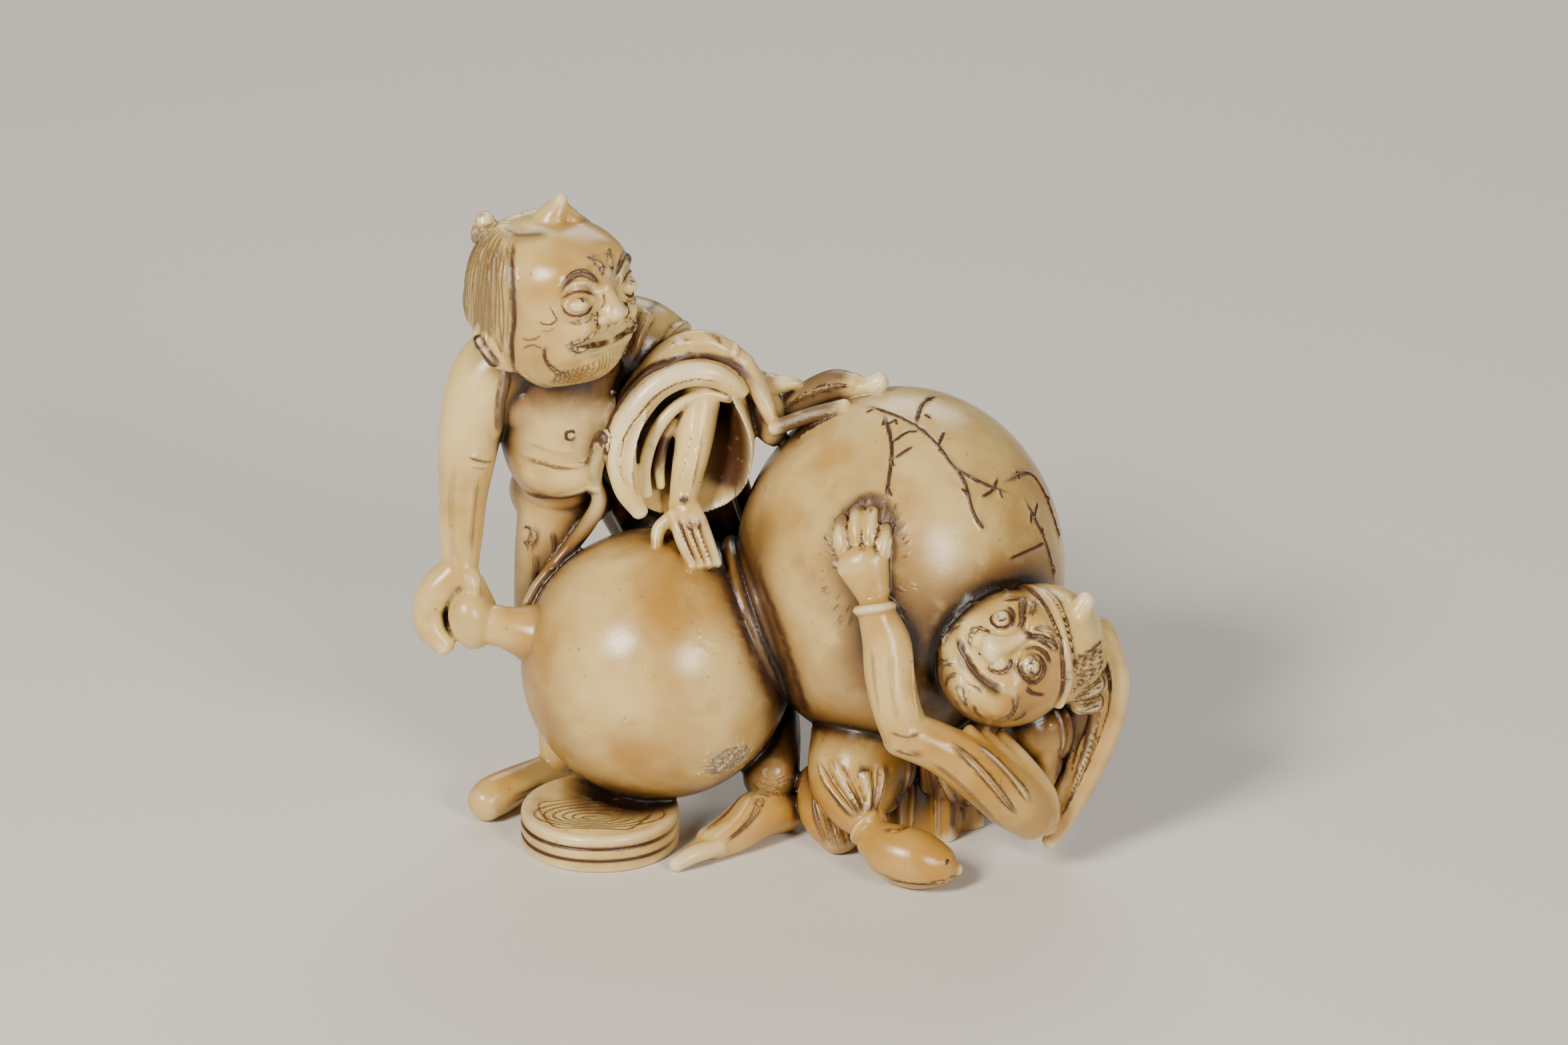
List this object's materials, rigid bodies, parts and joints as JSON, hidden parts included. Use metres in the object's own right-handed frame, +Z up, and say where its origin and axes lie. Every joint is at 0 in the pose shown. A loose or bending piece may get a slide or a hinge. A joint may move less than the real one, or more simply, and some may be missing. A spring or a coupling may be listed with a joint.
{
  "type": "netsuke",
  "caption": "Ivory-coloured netsuke carved in one piece: horned demons in robes heave at a large bottle gourd that lies on a flat layered disc.",
  "frame": {"origin": "middle of the outline seen from above, on the surface that the carving stands on", "axes": "+Z up, +X to the right along the gourd from its stopper to its large lobe, -Y towards the front view"},
  "size_m": [0.0446, 0.025, 0.0416],
  "materials": {
    "ivory": "polished ivory, stained brown in the cuts"
  },
  "bodies": {
    "root": {"carved_netsuke": "ivory"}
  },
  "joints": []
}
